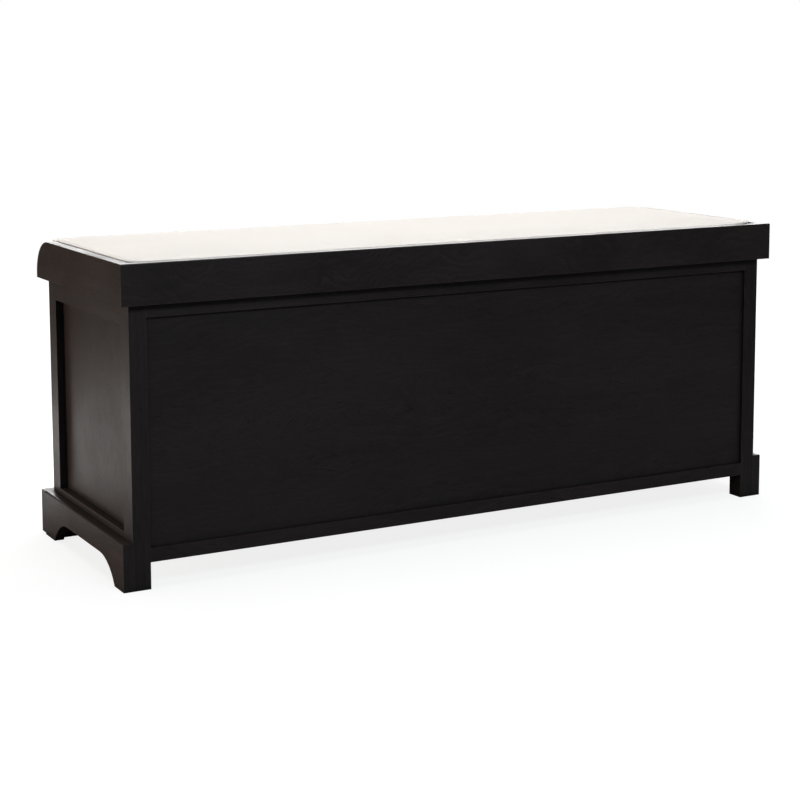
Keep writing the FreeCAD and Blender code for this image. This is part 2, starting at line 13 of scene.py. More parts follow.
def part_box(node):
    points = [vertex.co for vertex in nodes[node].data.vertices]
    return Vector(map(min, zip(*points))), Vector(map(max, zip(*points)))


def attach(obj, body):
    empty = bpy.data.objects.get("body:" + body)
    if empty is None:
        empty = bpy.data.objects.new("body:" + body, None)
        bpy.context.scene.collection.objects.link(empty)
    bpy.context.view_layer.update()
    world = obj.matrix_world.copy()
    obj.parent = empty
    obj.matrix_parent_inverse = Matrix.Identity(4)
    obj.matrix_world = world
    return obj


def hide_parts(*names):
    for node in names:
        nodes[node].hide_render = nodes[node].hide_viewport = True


MM = 0.001
BAYS = ("left", "middle", "right")
SIDES = ("left", "right")

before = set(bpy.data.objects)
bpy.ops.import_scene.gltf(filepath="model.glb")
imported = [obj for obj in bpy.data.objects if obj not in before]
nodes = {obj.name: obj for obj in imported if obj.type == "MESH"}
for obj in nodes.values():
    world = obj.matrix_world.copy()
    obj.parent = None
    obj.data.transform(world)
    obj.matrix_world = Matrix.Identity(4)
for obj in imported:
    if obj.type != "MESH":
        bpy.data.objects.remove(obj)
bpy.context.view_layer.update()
cushion_low, cushion_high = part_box("seat_cushion")
scene = bpy.context.scene


# ---------------------------------------------------------------- shader building
def link_or_set(tree, socket, value):
    if isinstance(value, bpy.types.NodeSocket):
        tree.links.new(value, socket)
    else:
        socket.default_value = value


def add(tree, kind, inputs=None, **settings):
    """A new node; an input that is given a socket is linked to it, any other input is set."""
    made = tree.nodes.new(kind)
    for name, value in settings.items():
        setattr(made, name, value)
    for name, value in (inputs or {}).items():
        link_or_set(tree, made.inputs[name], value)
    return made


def sums(tree, operation, first, second=0.0, third=0.0, clamp=False):
    made = tree.nodes.new("ShaderNodeMath")
    made.operation = operation
    made.use_clamp = clamp
    for socket, value in zip(made.inputs, (first, second, third)):
        link_or_set(tree, socket, value)
    return made.outputs[0]


def vector_sum(tree, operation, first, second=(0.0, 0.0, 0.0), result="Vector"):
    made = tree.nodes.new("ShaderNodeVectorMath")
    made.operation = operation
    link_or_set(tree, made.inputs[0], first)
    link_or_set(tree, made.inputs[1], second)
    return made.outputs[result]


def scaled(tree, vector, factors):
    return vector_sum(tree, "MULTIPLY", vector, factors)


def joined(tree, x, y, z):
    return add(tree, "ShaderNodeCombineXYZ", {"X": x, "Y": y, "Z": z}).outputs[0]


def parts(tree, vector):
    return add(tree, "ShaderNodeSeparateXYZ", {"Vector": vector}).outputs


def spread(tree, value, low, high, to_low=0.0, to_high=1.0):
    """The value, moved from the range low to high into the range to_low to to_high."""
    made = add(tree, "ShaderNodeMapRange", {"Value": value, "From Min": low, "From Max": high,
                                            "To Min": to_low, "To Max": to_high})
    return made.outputs["Result"]


def blend_colours(tree, share, first, second):
    made = tree.nodes.new("ShaderNodeMix")
    made.data_type = "RGBA"
    link_or_set(tree, made.inputs["Factor"], share)
    for socket, value in ((made.inputs[6], first), (made.inputs[7], second)):
        link_or_set(tree, socket, value)
    return made.outputs[2]


def noise_texture(tree, place, scale=1.0, detail=2.0, roughness=0.5, distortion=0.0, result="Fac"):
    made = add(tree, "ShaderNodeTexNoise", {"Vector": place, "Scale": scale, "Detail": detail,
                                            "Roughness": roughness, "Distortion": distortion})
    return made.outputs[result]


def place_on_piece(tree):
    return add(tree, "ShaderNodeTexCoord").outputs["Object"]


def facing(tree):
    return add(tree, "ShaderNodeNewGeometry").outputs["Normal"]


def new_group(name, inputs, outputs):
    """An empty node group: inputs are (name, kind, default), outputs are names of numbers."""
    tree = bpy.data.node_groups.new(name, "ShaderNodeTree")
    for label, kind, default in inputs:
        socket = tree.interface.new_socket(label, in_out="INPUT", socket_type=f"NodeSocket{kind}")
        socket.default_value = default
    for label in outputs:
        tree.interface.new_socket(label, in_out="OUTPUT", socket_type="NodeSocketFloat")
    return tree, tree.nodes.new("NodeGroupInput").outputs, tree.nodes.new("NodeGroupOutput").inputs


def use(tree, group, inputs=None):
    made = tree.nodes.new("ShaderNodeGroup")
    made.node_tree = group
    for name, value in (inputs or {}).items():
        link_or_set(tree, made.inputs[name], value)
    return made.outputs


def new_material(name):
    material = bpy.data.materials.new(name)
    material.use_nodes = True
    tree = material.node_tree
    return material, tree, tree.nodes["Principled BSDF"]


def set_surface(tree, shader, colour, roughness):
    tree.links.new(colour, shader.inputs["Base Color"])
    tree.links.new(roughness, shader.inputs["Roughness"])


def set_relief(tree, shader, height, strength, distance):
    bump = add(tree, "ShaderNodeBump", {"Height": height, "Strength": strength, "Distance": distance})
    tree.links.new(bump.outputs[0], shader.inputs["Normal"])


# ---------------------------------------------------------------- shared effects
BOARD_SHIFT = (1.37, 0.173, 0.291)      # how far each board's number moves its grain, in metres


def board_grain():
    """Growth rings, pores and a height for a board; Turn lays the grain, drawn along X, as it runs."""
    tree, given, out = new_group(
        "board grain",
        [("Turn", "Vector", (0.0, 0.0, 0.0)), ("Ring spacing", "Float", 0.008),
         ("Wander", "Float", 0.03), ("Figure length", "Float", 0.6), ("Pore width", "Float", 0.0008)],
        ["Rings", "Pores", "Cloud", "Height"])
    number = add(tree, "ShaderNodeObjectInfo").outputs["Object Index"]
    board = joined(tree, *[sums(tree, "MULTIPLY", number, shift) for shift in BOARD_SHIFT])
    shifted = vector_sum(tree, "ADD", place_on_piece(tree), board)
    laid = add(tree, "ShaderNodeVectorRotate", {"Vector": shifted, "Rotation": given["Turn"]},
               rotation_type="EULER_XYZ").outputs[0]

    # The heart of the tree wanders sideways, slowly along the board.
    lengthwise = sums(tree, "DIVIDE", 1.0, given["Figure length"])
    slow = scaled(tree, laid, joined(tree, lengthwise, 7.0, 7.0))
    drift = noise_texture(tree, slow, detail=3.0, roughness=0.45, result="Color")
    drift = vector_sum(tree, "SUBTRACT", drift, (0.5, 0.5, 0.5))
    sideways = sums(tree, "MULTIPLY", given["Wander"], 2.0)
    warped = vector_sum(tree, "ADD", laid, scaled(tree, drift, joined(tree, 0.0, sideways, sideways)))

    # Each ring rises slowly and ends sharply, and fades out in places.
    radius = vector_sum(tree, "LENGTH", scaled(tree, warped, (0.0, 1.0, 1.0)), result="Value")
    rising = sums(tree, "FRACT", sums(tree, "DIVIDE", radius, given["Ring spacing"]))
    falling = sums(tree, "MULTIPLY", sums(tree, "SUBTRACT", 1.0, rising), 5.0)
    ridge = sums(tree, "MULTIPLY", sums(tree, "MINIMUM", rising, falling), 1.2, clamp=True)
    faded = noise_texture(tree, scaled(tree, laid, (9.0, 40.0, 40.0)), detail=4.0, roughness=0.7)
    rings = sums(tree, "MULTIPLY", ridge, spread(tree, faded, 0.38, 0.66))

    # Pores are long thin streaks, flecks are shorter and wider.
    fine = sums(tree, "DIVIDE", 1.0, given["Pore width"])
    along_pores = joined(tree, sums(tree, "MULTIPLY", fine, 0.022), fine, fine)
    pores = spread(tree, noise_texture(tree, scaled(tree, warped, along_pores), detail=1.5), 0.53, 0.70)
    fleck = noise_texture(tree, scaled(tree, warped, (30.0, 160.0, 160.0)), detail=3.0, roughness=0.6)
    cloud = spread(tree, noise_texture(tree, slow, scale=0.9), 0.3, 0.7)
    clouded = sums(tree, "MULTIPLY_ADD", sums(tree, "SUBTRACT", fleck, 0.5), 1.1, cloud, clamp=True)
    raised = sums(tree, "MULTIPLY_ADD", rings, 0.2, sums(tree, "MULTIPLY", fleck, 0.3))

    tree.links.new(rings, out["Rings"])
    tree.links.new(pores, out["Pores"])
    tree.links.new(clouded, out["Cloud"])
    tree.links.new(sums(tree, "SUBTRACT", raised, pores), out["Height"])
    return tree


def edge_wear_and_highlight():
    """A mask of sharp edges, broken up so that it reads as rubbing and not as a drawn line. On the
    lacquer it also lays a painted highlight along the arrises.
    """
    tree, given, out = new_group(
        "edge wear and highlight", [("Width", "Float", 0.0012), ("Patchiness", "Float", 0.5)], ["Wear"])
    rounded = add(tree, "ShaderNodeBevel", {"Radius": given["Width"]}, samples=4).outputs[0]
    alike = vector_sum(tree, "DOT_PRODUCT", rounded, facing(tree), result="Value")
    edge = spread(tree, alike, 0.995, 0.86)
    patches = noise_texture(tree, place_on_piece(tree), scale=38.0, detail=4.0, roughness=0.65)
    wear_and_highlight = spread(tree, patches, 0.42, 0.62)
    kept = sums(tree, "MULTIPLY_ADD", wear_and_highlight, given["Patchiness"],
                sums(tree, "SUBTRACT", 1.0, given["Patchiness"]))
    tree.links.new(sums(tree, "MULTIPLY", edge, kept, clamp=True), out["Wear"])
    return tree


def painted_corner_shade():
    """Painted shade: a mask, found by ambient occlusion, of the corners and recesses where pieces meet,
    which the lacquer darkens.
    """
    tree, given, out = new_group("painted_corner_shade", [("Reach", "Float", 0.01)], ["Gathered"])
    openness = add(tree, "ShaderNodeAmbientOcclusion", {"Distance": given["Reach"]}, samples=6)
    tree.links.new(spread(tree, openness.outputs["AO"], 0.92, 0.45), out["Gathered"])
    return tree


def handling():
    """Soft haze and small smears left by hands and dusters."""
    tree, given, out = new_group("handling", [("Size", "Float", 0.12)], ["Haze", "Smear"])
    place = place_on_piece(tree)
    scale = sums(tree, "DIVIDE", 1.0, given["Size"])
    haze = noise_texture(tree, place, scale, detail=3.0, distortion=0.6)
    smear = noise_texture(tree, scaled(tree, place, (1.0, 3.2, 2.1)),
                          sums(tree, "MULTIPLY", scale, 4.0), detail=5.0, roughness=0.7)
    tree.links.new(spread(tree, haze, 0.35, 0.7), out["Haze"])
    tree.links.new(spread(tree, smear, 0.5, 0.75), out["Smear"])
    return tree


def plain_weave():
    """Over-and-under threads on whichever plane a face lies in, with slubs in the yarn."""
    tree, given, out = new_group(
        "plain weave", [("Thread", "Float", 0.0011), ("Slub", "Float", 0.35)],
        ["Height", "Shade", "Mottle"])
    place = place_on_piece(tree)
    part = parts(tree, place)
    weight = parts(tree, vector_sum(tree, "ABSOLUTE", facing(tree)))
    wobble = noise_texture(tree, place, scale=160.0)
    wobble = sums(tree, "MULTIPLY", sums(tree, "SUBTRACT", wobble, 0.5), given["Slub"])
    turn = sums(tree, "DIVIDE", math.pi, given["Thread"])

    def wave(axis):
        return sums(tree, "SINE", sums(tree, "ADD", sums(tree, "MULTIPLY", part[axis], turn), wobble))

    height = 0.0
    for warp, weft, normal in ("XYZ", "XZY", "YZX"):
        over = sums(tree, "MULTIPLY_ADD", sums(tree, "MULTIPLY", wave(warp), wave(weft)), 0.5, 0.5)
        height = sums(tree, "MULTIPLY_ADD", over, weight[normal], height)
    mottle = noise_texture(tree, place, scale=9.0, detail=6.0, roughness=0.7)
    tree.links.new(height, out["Height"])
    tree.links.new(spread(tree, height, 0.15, 0.8), out["Shade"])
    tree.links.new(spread(tree, mottle, 0.35, 0.68), out["Mottle"])
    return tree


GRAIN, WEAR_AND_HIGHLIGHT, CORNER_SHADE = board_grain(), edge_wear_and_highlight(), painted_corner_shade()
HANDLING, WEAVE = handling(), plain_weave()

# How a board's grain runs: the turn that brings that axis of the bench onto the group's X.
TURNS = {"x": (0.0, 0.0, 0.0), "y": (0.0, 0.0, -math.pi / 2), "z": (0.0, math.pi / 2, 0.0)}


# ---------------------------------------------------------------- materials
# Thick and thin stain, then the paler wood of the rings. Faces turned to the back get darker, more
# neutral colours: painted shade.
BROWN_STAIN = ((0.0175, 0.0107, 0.0084, 1), (0.0262, 0.0160, 0.0124, 1), (0.048, 0.0300, 0.0226, 1))
BACK_FACING_SHADE = ((0.0140, 0.0108, 0.0108, 1), (0.0232, 0.0178, 0.0176, 1), (0.038, 0.0290, 0.0270, 1))
STAINED_PORE = (0.0050, 0.0034, 0.0030, 1)
# Painted shade laid into corners and recesses.
CORNER_SHADE_COLOUR = (0.0015, 0.001, 0.001, 1)
# Lighter brown on the arrises: rubbed lacquer, and partly a painted highlight.
RUBBED_EDGE_AND_HIGHLIGHT = (0.11, 0.068, 0.045, 1)

# Pale and deep colour of the wood.
BIRCH_WOOD = ((0.66, 0.50, 0.33, 1), (0.50, 0.35, 0.21, 1))
BEECH_WOOD = ((0.58, 0.39, 0.25, 1), (0.45, 0.28, 0.17, 1))
BIRCH_VENEER = ((0.62, 0.47, 0.31, 1), (0.47, 0.33, 0.2, 1))
PLY_EDGE = ((0.5, 0.36, 0.22, 1), (0.27, 0.17, 0.1, 1))
PLY_LAYERS = 2.8 * MM       # one pale layer and one dark layer
PALE_SHARE = 0.55

PATINA = ((0.075, 0.05, 0.033, 1), (0.12, 0.082, 0.05, 1))
BARE_BRONZE = (0.34, 0.22, 0.12, 1)
ZINC_COAT = ((0.55, 0.55, 0.53, 1), (0.66, 0.66, 0.62, 1))
BARE_STEEL = (0.8, 0.8, 0.78, 1)

YARN = ((0.74, 0.69, 0.64, 1), (0.90, 0.86, 0.82, 1))
YARN_TINT = (0.80, 0.755, 0.70, 1)


def espresso_lacquer(name, run, wander=0.05, figure_length=0.6, contrast=0.5):
    """Dark brown stained wood under satin lacquer, the grain just showing through."""
    material, tree, shader = new_material(name)
    grain = use(tree, GRAIN, {"Turn": TURNS[run], "Ring spacing": 0.011, "Wander": wander,
                              "Figure length": figure_length, "Pore width": 0.0008})
    # The arrises are lightened: rubbed lacquer, and partly a painted highlight.
    wear_and_highlight = use(tree, WEAR_AND_HIGHLIGHT, {"Width": 0.0014, "Patchiness": 0.55})["Wear"]
    # Painted shade: corners and recesses are darkened towards near-black and made rougher.
    corners = use(tree, CORNER_SHADE, {"Reach": 0.013})["Gathered"]
    touched = use(tree, HANDLING, {"Size": 0.16})
    # Painted shade: faces turned towards +Y take the darker, more neutral colours.
    back_facing_shade = spread(tree, parts(tree, facing(tree))["Y"], 0.5, 0.8)
    thick, thin, paler = (blend_colours(tree, back_facing_shade, brown, black)
                          for brown, black in zip(BROWN_STAIN, BACK_FACING_SHADE))
    layers = ((grain["Cloud"], 1.0, thin), (grain["Rings"], contrast, paler),
              (grain["Pores"], 0.6, STAINED_PORE), (wear_and_highlight, 0.5, RUBBED_EDGE_AND_HIGHLIGHT),
              (corners, 0.9, CORNER_SHADE_COLOUR))
    colour = thick
    for mask, strength, over in layers:
        colour = blend_colours(tree, sums(tree, "MULTIPLY", mask, strength), colour, over)
    rough = 0.33
    for mask, more in ((touched["Haze"], 0.10), (grain["Pores"], 0.12), (corners, 0.3)):
        rough = sums(tree, "MULTIPLY_ADD", mask, more, rough)
    set_surface(tree, shader, colour, rough)
    set_relief(tree, shader, grain["Height"], strength=0.13, distance=0.4 * MM)
    shader.inputs["Specular IOR Level"].default_value = 0.3
    return material


def sealed_wood(name, run, wood, ring_spacing, pore_width):
    """Light wood under a clear sealer: drawer boxes, runners and guides."""
    material, tree, shader = new_material(f"{name}_{run}")
    pale, deep = wood
    in_pores = tuple(part * 0.45 for part in deep[:3]) + (1,)
    grain = use(tree, GRAIN, {"Turn": TURNS[run], "Ring spacing": ring_spacing, "Wander": 0.03,
                              "Pore width": pore_width})
    wear_and_highlight = use(tree, WEAR_AND_HIGHLIGHT, {"Width": 0.001, "Patchiness": 0.6})["Wear"]
    touched = use(tree, HANDLING, {"Size": 0.2})
    cloud = sums(tree, "MULTIPLY", grain["Cloud"], 0.35)
    share = sums(tree, "MULTIPLY_ADD", grain["Rings"], 0.55, cloud)
    figured = blend_colours(tree, share, pale, deep)
    flecked = blend_colours(tree, sums(tree, "MULTIPLY", grain["Pores"], 0.35), figured, in_pores)
    rubbed = blend_colours(tree, sums(tree, "MULTIPLY", wear_and_highlight, 0.35), flecked, pale)
    set_surface(tree, shader, rubbed, sums(tree, "MULTIPLY_ADD", touched["Haze"], 0.14, 0.46))
    set_relief(tree, shader, grain["Height"], strength=0.25, distance=0.3 * MM)
    return material


def birch_plywood(run):
    """Birch plywood: a sealed face veneer, and its layers showing on the cut edges."""
    material, tree, shader = new_material(f"birch_plywood_{run}")
    grain = use(tree, GRAIN, {"Turn": TURNS[run], "Ring spacing": 0.016, "Wander": 0.06,
                              "Pore width": 0.0012})
    touched = use(tree, HANDLING, {"Size": 0.25})
    face = blend_colours(tree, sums(tree, "MULTIPLY", grain["Rings"], 0.6), *BIRCH_VENEER)
    height = parts(tree, place_on_piece(tree))["Z"]
    layer = sums(tree, "FRACT", sums(tree, "DIVIDE", height, PLY_LAYERS))
    edge = blend_colours(tree, sums(tree, "GREATER_THAN", layer, PALE_SHARE), *PLY_EDGE)
    level = sums(tree, "ABSOLUTE", parts(tree, facing(tree))["Z"])
    colour = blend_colours(tree, sums(tree, "LESS_THAN", level, 0.6), face, edge)
    set_surface(tree, shader, colour, sums(tree, "MULTIPLY_ADD", touched["Haze"], 0.12, 0.5))
    set_relief(tree, shader, grain["Height"], strength=0.2, distance=0.3 * MM)
    return material


def metal(name, coat, bare, rub, touch_size, roughness, metallic):
    """Coated metal, rubbed bare along its edges; rub is how wide and how patchy."""
    material, tree, shader = new_material(name)
    wear_and_highlight = use(tree, WEAR_AND_HIGHLIGHT, {"Width": rub[0], "Patchiness": rub[1]})["Wear"]
    touched = use(tree, HANDLING, {"Size": touch_size})
    coated = blend_colours(tree, touched["Smear"], *coat)
    least, more = roughness
    set_surface(tree, shader, blend_colours(tree, wear_and_highlight, coated, bare),
                sums(tree, "MULTIPLY_ADD", touched["Haze"], more, least))
    shader.inputs["Metallic"].default_value = metallic
    return material


def seat_cloth(name, thread):
    """Off-white plain-weave cotton, soft at grazing angles."""
    material, tree, shader = new_material(name)
    woven = use(tree, WEAVE, {"Thread": thread, "Slub": 0.9})
    yarn = blend_colours(tree, woven["Shade"], *YARN)
    tinted = blend_colours(tree, sums(tree, "MULTIPLY", woven["Mottle"], 0.25), yarn, YARN_TINT)
    set_surface(tree, shader, tinted, spread(tree, woven["Mottle"], 0.0, 1.0, 0.84, 0.95))
    set_relief(tree, shader, woven["Height"], strength=0.35, distance=0.4 * MM)
    shader.inputs["Sheen Weight"].default_value = 0.25
    shader.inputs["Sheen Roughness"].default_value = 0.4
    shader.inputs["Specular IOR Level"].default_value = 0.2
    return material


LACQUER = {run: espresso_lacquer(f"espresso_lacquer_{run}", run) for run in TURNS}
FIGURED_LACQUER = espresso_lacquer("espresso_lacquer_figured", "x", 0.11, 0.15, 0.55)
PANEL_LACQUER = espresso_lacquer("espresso_lacquer_back_panel", "x", 0.09, 0.45, 0.3)
BIRCH = {run: sealed_wood("birch", run, BIRCH_WOOD, 14 * MM, 1.0 * MM) for run in TURNS}
BEECH = {run: sealed_wood("beech", run, BEECH_WOOD, 10 * MM, 0.7 * MM) for run in TURNS}
PLYWOOD = {run: birch_plywood(run) for run in "xy"}
BRONZE = metal("aged_bronze", PATINA, BARE_BRONZE, (2 * MM, 0.4), 20 * MM, (0.28, 0.22), 0.9)
ZINC = metal("zinc_plate", ZINC_COAT, BARE_STEEL, (0.6 * MM, 0.3), 6 * MM, (0.3, 0.2), 1.0)
CLOTH, PIPING_CLOTH = seat_cloth("seat_cloth", 1.1 * MM), seat_cloth("piping_cloth", 0.8 * MM)


# ---------------------------------------------------------------- the CAD pieces
# Width of the softened arrises, by what the piece is made of.
LACQUER_EDGE = 0.9 * MM
BEECH_EDGE = 0.6 * MM
BIRCH_EDGE = 0.7 * MM
CASE_PLY_EDGE = 0.4 * MM
DRAWER_PLY_EDGE = 0.3 * MM


def dress(name, material, edge=0.0):
    """Gives a CAD node its material and, where edge is set, softly rounded arrises."""
    piece = nodes[name]
    piece.data.materials.clear()
    piece.data.materials.append(material)
    if edge:
        weld = piece.modifiers.new("weld", "WELD")
        weld.merge_threshold = 0.02 * MM
        bevel = piece.modifiers.new("arris", "BEVEL")
        bevel.width = edge
        bevel.segments = 2
        bevel.limit_method = "ANGLE"
        bevel.angle_limit = math.radians(40)
        bevel.use_clamp_overlap = True
        piece.modifiers.new("shading", "WEIGHTED_NORMAL").keep_sharp = False


def dress_case():
    lacquered = {"x": ["seat_board", "seat_nosing", "back_top_rail", "back_bottom_rail",
                       "front_top_rail", "front_bottom_rail", "plinth_front"],
                 "y": [], "z": []}
    for side in SIDES:
        lacquered["y"] += [f"tray_end_{side}", f"side_top_rail_{side}", f"side_bottom_rail_{side}",
                           f"plinth_side_{side}"]
        lacquered["z"] += [f"side_panel_{side}", f"post_back_{side}", f"post_front_{side}",
                           f"divider_{side}"]
        dress(f"side_guide_{side}", BEECH["y"], BEECH_EDGE)
    for run, names in lacquered.items():
        for name in names:
            dress(name, LACQUER[run], LACQUER_EDGE)
    dress("tray_back_board", FIGURED_LACQUER, LACQUER_EDGE)
    dress("back_panel", PANEL_LACQUER, LACQUER_EDGE)
    dress("case_bottom", PLYWOOD["x"], CASE_PLY_EDGE)
    dress("bottom_cleat", BEECH["x"], BEECH_EDGE)
    dress("drawer_stops", BEECH["x"], BEECH_EDGE)
    dress("rail_dowels", BEECH["x"])
    dress("seat_screws", ZINC)
    for bay in BAYS:
        for side in SIDES:
            dress(f"runner_{bay}_{side}", BEECH["y"], BEECH_EDGE)


def dress_drawers():
    for bay in BAYS:
        name = f"drawer_{bay}"
        dress(f"{name}_front", LACQUER["x"], LACQUER_EDGE)
        for side in SIDES:
            dress(f"{name}_side_{side}", BIRCH["y"], BIRCH_EDGE)
        dress(f"{name}_back", BIRCH["x"], BIRCH_EDGE)
        dress(f"{name}_bottom", PLYWOOD["x"], DRAWER_PLY_EDGE)
        dress(f"{name}_knob", BRONZE)
        dress(f"{name}_knob_screw", ZINC)


def number_the_boards():
    """Each node gets its own number, which shifts its grain, so that no two boards match."""
    for number, name in enumerate(sorted(nodes)):
        nodes[name].pass_index = number


# ---------------------------------------------------------------- the cushion
# Heights are above the seat board.
SEAM_INSET = Vector((1.8 * MM, 0.5 * MM))       # how far the seams lie inside the CAD cushion's sides
CORNER_RADIUS = 22 * MM
LOWER_SEAM = 4.0 * MM
UPPER_SEAM = 43.0 * MM      # along the back edge
FRONT_DIP = 1.5 * MM        # how much lower the upper seam runs along the front
END_RISE = {"left": 2.6 * MM, "right": 0.4 * MM}        # and how much higher at the ends
END_REACH = 60 * MM

CLOTH_STEP = 12 * MM
PANEL_INSET = 6 * MM        # where the flat panels start, inside the seams
BOTTOM_PANEL = 0.4 * MM
TOP_PANEL = UPPER_SEAM + 2.5 * MM
VOXEL = 6 * MM
FILLING_FRAMES = 20

SWELL = 1.3 * MM            # how far the sides may bulge
CROWN = 51 * MM             # how high the stuffing may lift the top
FULLER_RIGHT = 2 * MM       # how much higher it may do so in the right half
CROWN_REACH = {"end": 60 * MM, "side": 75 * MM}
PUFF = 1.5 * MM             # how high the top may stand right beside its seam
RIPPLE = 0.6 * MM           # unevenness of the top and of its edge

PIPING_RADIUS = 2.1 * MM
PIPING_STEP = 9 * MM


def rounded_rectangle(low, high, radius, step):
    """Points round a rectangle with rounded corners, anticlockwise, about a step apart.

    The count comes from the whole cushion, so that outlines of different insets match point by point.
    """
    corner_steps = 6
    size = cushion_high - cushion_low
    along = (round(size.x / step), round(size.y / step))
    middles = [(high.x - radius, low.y + radius), (high.x - radius, high.y - radius),
               (low.x + radius, high.y - radius), (low.x + radius, low.y + radius)]
    points = []
    for corner, (x, y) in enumerate(middles):
        for turn in range(corner_steps + 1):
            angle = math.radians(90 * (corner - 1 + turn / corner_steps))
            points.append(Vector((x + radius * math.cos(angle), y + radius * math.sin(angle))))
        angle = math.radians(90 * corner)
        towards = Vector((math.cos(angle), math.sin(angle)))
        following = Vector(middles[(corner + 1) % 4]) + radius * towards
        count = along[(corner + 1) % 2]
        start = points[-1]
        points += [start.lerp(following, part / count) for part in range(1, count)]
    return points


def shade_smooth(mesh):
    for face in mesh.polygons:
        face.use_smooth = True


def mesh_object(name, work, material):
    """A smooth-shaded object from a bmesh, which it frees."""
    mesh = bpy.data.meshes.new(name)
    work.to_mesh(mesh)
    work.free()
    shade_smooth(mesh)
    mesh.materials.append(material)
    made = bpy.data.objects.new(name, mesh)
    scene.collection.objects.link(made)
    return made


def seam_box(further_in=0.0):
    """The seams' rectangle seen from above, or one that lies further in."""
    inset = SEAM_INSET + Vector((further_in, further_in))
    return cushion_low.xy + inset, cushion_high.xy - inset


def cut_cloth():
    """The closed bag of cloth before it is filled: two panels and the band between them."""
    work = bmesh.new()
    levels = ((PANEL_INSET, BOTTOM_PANEL), (0, LOWER_SEAM), (0, UPPER_SEAM), (PANEL_INSET, TOP_PANEL))
    rings = []
    for further_in, height in levels:
        low, high = seam_box(further_in)
        outline = rounded_rectangle(low, high, CORNER_RADIUS - further_in, CLOTH_STEP)
        rings.append([work.verts.new((point.x, point.y, cushion_low.z + height)) for point in outline])
    for lower, upper in zip(rings, rings[1:]):
        for index in range(len(lower)):
            following = (index + 1) % len(lower)
            work.faces.new((lower[index], lower[following], upper[following], upper[index]))
    work.faces.new(list(reversed(rings[0])))
    work.faces.new(rings[-1])
    return work


def hold_seams(cushion):
    """A vertex group of what the filling may not move: both seams and the flat bottom."""
    seams = cushion.vertex_groups.new(name="seams")
    low, high = seam_box()
    for vertex in cushion.data.vertices:
        x, y = vertex.co.xy
        z = vertex.co.z - cushion_low.z
        from_edge = min(x - low.x, high.x - x, y - low.y, high.y - y)
        from_seam = min(abs(z - LOWER_SEAM), abs(z - UPPER_SEAM))
        if from_edge < VOXEL * 0.8 and from_seam < VOXEL * 0.6 or z < LOWER_SEAM / 2:
            seams.add([vertex.index], 1.0, "REPLACE")
    return seams.name


def run_cloth(cushion):
    """Fills the bag: the seams are held, pressure swells the panels between them."""
    held = hold_seams(cushion)
    cloth = cushion.modifiers.new("stuffing", "CLOTH")
    settings = cloth.settings
    settings.vertex_group_mass = held
    settings.quality = 6
    settings.mass = 0.35
    settings.tension_stiffness = 22
    settings.compression_stiffness = 18
    settings.shear_stiffness = 8
    settings.bending_stiffness = 1.2
    settings.use_pressure = True
    settings.uniform_pressure_force = 4.0
    settings.effector_weights.gravity = 0
    cloth.point_cache.frame_start = 1
    cloth.point_cache.frame_end = FILLING_FRAMES
    for number in range(1, FILLING_FRAMES + 1):
        scene.frame_set(number)
    graph = bpy.context.evaluated_depsgraph_get()
    filled = cushion.evaluated_get(graph).to_mesh()
    points = [vertex.co.copy() for vertex in filled.vertices]
    cushion.modifiers.remove(cloth)
    scene.frame_set(1)
    return points


def eased(distance, reach):
    """0 at the start, 1 from the reach onwards, with a soft beginning and end."""
    share = min(max(distance / reach, 0.0), 1.0)
    return share * share * (3 - 2 * share)


def lean(x, y):
    """How far the upper seam is off its height: lower along the front, higher at both ends."""
    low, high = seam_box()
    behind_front = eased(y - low.y, END_REACH)
    left, right = 1 - eased(x - low.x, END_REACH), 1 - eased(high.x - x, END_REACH)
    ends = END_RISE["left"] * left + END_RISE["right"] * right
    return ends * behind_front - FRONT_DIP * (1 - behind_front)


def crown_share(x, y):
    """How far the stuffing lifts the top here: nothing at the seams, all of it well inside."""
    low, high = seam_box()
    from_end = min(x - low.x, high.x - x) / CROWN_REACH["end"]
    from_side = min(y - low.y, high.y - y) / CROWN_REACH["side"]
    end, side = [math.sin(min(max(part, 0.0), 1.0) * math.pi / 2) for part in (from_end, from_side)]
    return math.sqrt(end) * side


def top_height(start, x, y, z):
    """The filled top here, held down by its crown and a little uneven."""
    lift = crown_share(start.x, start.y)
    edge = UPPER_SEAM + PUFF
    crown = CROWN + FULLER_RIGHT * eased(start.x + 0.15, 0.3)
    ceiling = cushion_low.z + edge + (crown - edge) * lift
    broad = noise.noise(Vector((x * 7, y * 11, 0.3))) * lift
    narrow = noise.noise(Vector((x * 45, y * 45, 4.1))) * (1 - lift)
    return max(start.z, min(z, ceiling)) + RIPPLE * (broad + narrow)


def settle(cushion, filled):
    """Keeps the filled cloth on the seat board, inside the tray and under its crown."""
    base = cushion_low.z
    for vertex, moved in zip(cushion.data.vertices, filled):
        start = vertex.co.copy()
        step = moved - start
        x = start.x + max(-SWELL, min(SWELL, step.x))
        y = start.y + max(-SWELL, min(SWELL, step.y))
        z = moved.z
        if start.z > base + UPPER_SEAM - 1 * MM:
            z = top_height(start, x, y, z)
        elif start.z < base + LOWER_SEAM:
            z = max(base + 0.3 * MM, min(z, start.z))
        z += lean(start.x, start.y) * min(1.0, (start.z - base) / UPPER_SEAM)
        vertex.co = (x, y, z)


